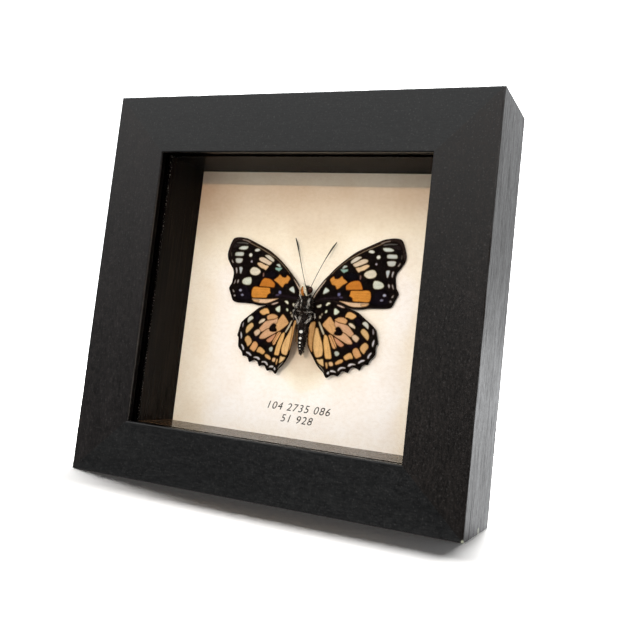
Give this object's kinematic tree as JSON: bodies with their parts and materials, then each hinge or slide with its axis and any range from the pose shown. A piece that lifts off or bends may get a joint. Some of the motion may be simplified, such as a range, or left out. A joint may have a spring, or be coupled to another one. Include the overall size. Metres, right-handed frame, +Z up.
{
  "type": "butterfly display case",
  "caption": "Free-standing box frame with a glass front, a cream card and a mounted butterfly, with a hanger and turn buttons on the back.",
  "frame": {"origin": "middle of the flat underside, half way between the front and the back face of the wood", "axes": "+X to the right as seen from the front, +Y from the glass front to the back, +Z up"},
  "size_m": [0.15, 0.0374, 0.1433],
  "materials": {
    "black_frame_wood": "satin black stain, fine grain",
    "vnail_steel": "plain rolled steel",
    "glass": "clear float glass",
    "black_liner_wood": "matt black stain",
    "parchment_card": "aged cream card",
    "backboard_fibreboard": "raw brown fibreboard",
    "zinc_steel": "zinc plated",
    "screw_steel": "zinc plated",
    "hanger_steel": "yellow passivated zinc",
    "hanger_nail_steel": "yellow passivated zinc",
    "bumper_rubber": "clear soft rubber",
    "pad_foam": "white foam",
    "thorax_hair": "short black hair with pale flecks",
    "abdomen_hair": "short black hair with pale flecks",
    "head_hair": "short black and cream hair",
    "palp_hair": "cream hair",
    "compound_eye": "smooth dark brown",
    "antenna_cuticle": "dark, satin",
    "leg_cuticle": "dark with pale scales",
    "forewing_scales": "velvety scales, patterned",
    "hindwing_scales": "velvety scales, patterned"
  },
  "bodies": {
    "case": {"top_rail": "black_frame_wood", "bottom_rail": "black_frame_wood", "left_stile": "black_frame_wood", "right_stile": "black_frame_wood", "corner_vnails": "vnail_steel", "glass_pane": "glass", "top_liner": "black_liner_wood", "bottom_liner": "black_liner_wood", "left_liner": "black_liner_wood", "right_liner": "black_liner_wood", "backing_card": "parchment_card", "backboard": "backboard_fibreboard", "button_screws": "screw_steel", "sawtooth_hanger": "hanger_steel", "hanger_nails": "hanger_nail_steel", "wall_bumpers": "bumper_rubber", "mounting_pad": "pad_foam", "thorax": "thorax_hair", "abdomen": "abdomen_hair", "head": "head_hair", "palps": "palp_hair", "left_eye": "compound_eye", "right_eye": "compound_eye", "left_antenna": "antenna_cuticle", "right_antenna": "antenna_cuticle", "left_legs": "leg_cuticle", "right_legs": "leg_cuticle", "left_forewing": "forewing_scales", "right_forewing": "forewing_scales", "left_hindwing": "hindwing_scales", "right_hindwing": "hindwing_scales"},
    "left_lower_button": {"left_lower_turn_button": "zinc_steel"},
    "left_upper_button": {"left_upper_turn_button": "zinc_steel"},
    "right_lower_button": {"right_lower_turn_button": "zinc_steel"},
    "right_upper_button": {"right_upper_turn_button": "zinc_steel"}
  },
  "joints": [
    {"name": "left_lower_button_turn", "type": "hinge", "parent": "case", "child": "left_lower_button", "pos_m": [-0.0671, 0.01785, 0.04], "axis": [0, 1, 0], "continuous": true},
    {"name": "left_upper_button_turn", "type": "hinge", "parent": "case", "child": "left_upper_button", "pos_m": [-0.0671, 0.01785, 0.105], "axis": [0, 1, 0], "continuous": true},
    {"name": "right_lower_button_turn", "type": "hinge", "parent": "case", "child": "right_lower_button", "pos_m": [0.0671, 0.01785, 0.04], "axis": [0, 1, 0], "continuous": true},
    {"name": "right_upper_button_turn", "type": "hinge", "parent": "case", "child": "right_upper_button", "pos_m": [0.0671, 0.01785, 0.105], "axis": [0, 1, 0], "continuous": true}
  ]
}
